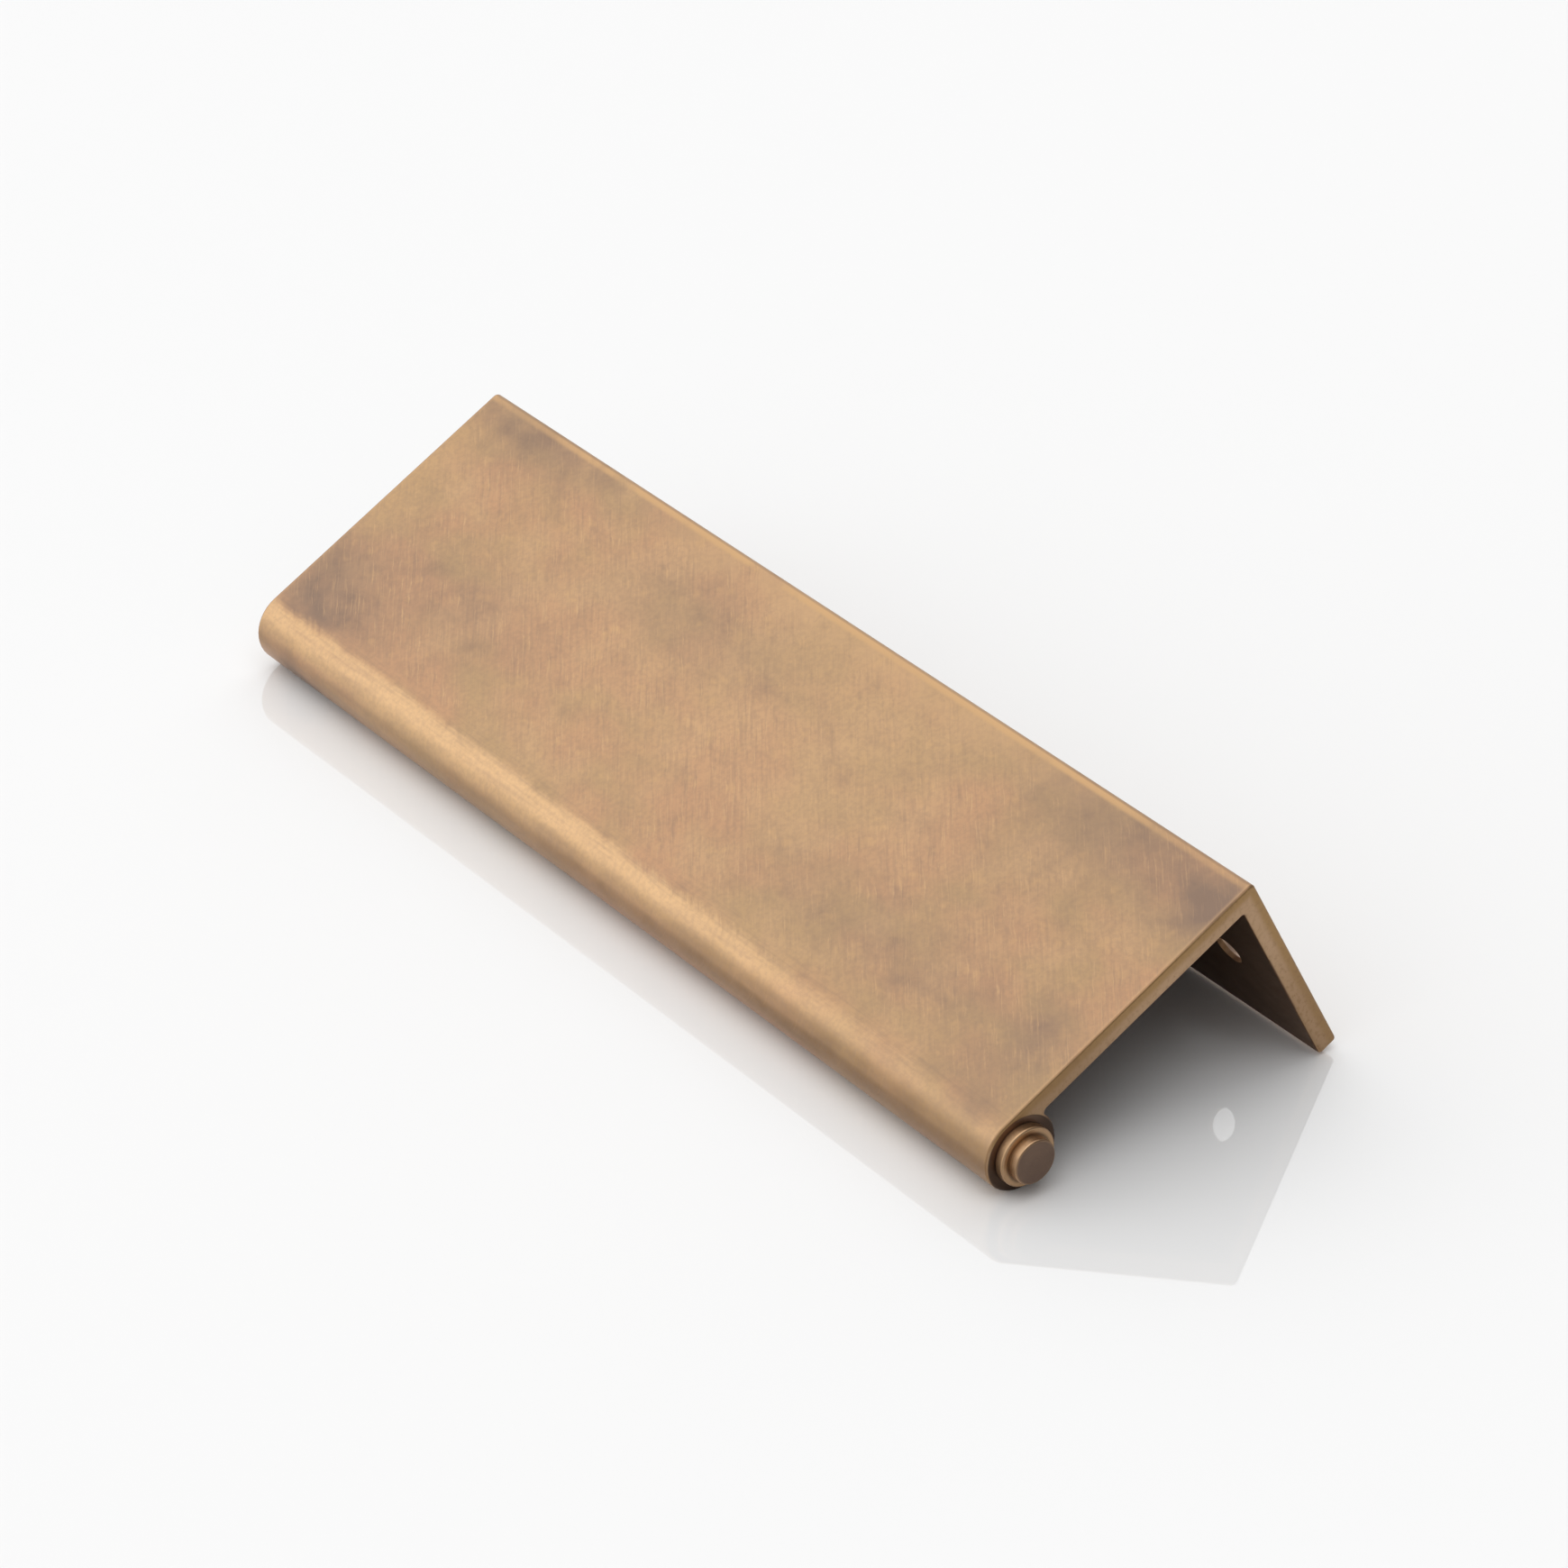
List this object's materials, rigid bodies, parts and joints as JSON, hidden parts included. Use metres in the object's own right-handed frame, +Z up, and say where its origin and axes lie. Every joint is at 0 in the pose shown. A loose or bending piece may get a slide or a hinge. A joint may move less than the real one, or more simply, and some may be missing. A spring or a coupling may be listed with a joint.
{
  "type": "tab pull",
  "caption": "L-shaped aged brass tab pull: a flange screws behind a drawer front, the plate covers its top edge and a round bead with a stepped end button is pulled.",
  "frame": {"origin": "midway between the screw holes, on the flange face that bears on the back of the drawer front", "axes": "+X along the pull towards the end with the button, +Y to the back through the flange, +Z up, square to the plate"},
  "size_m": [0.1526, 0.045, 0.03],
  "materials": {
    "aged_brass": "brushed and patinated"
  },
  "bodies": {
    "root": {"tab_pull": "aged_brass"}
  },
  "joints": []
}
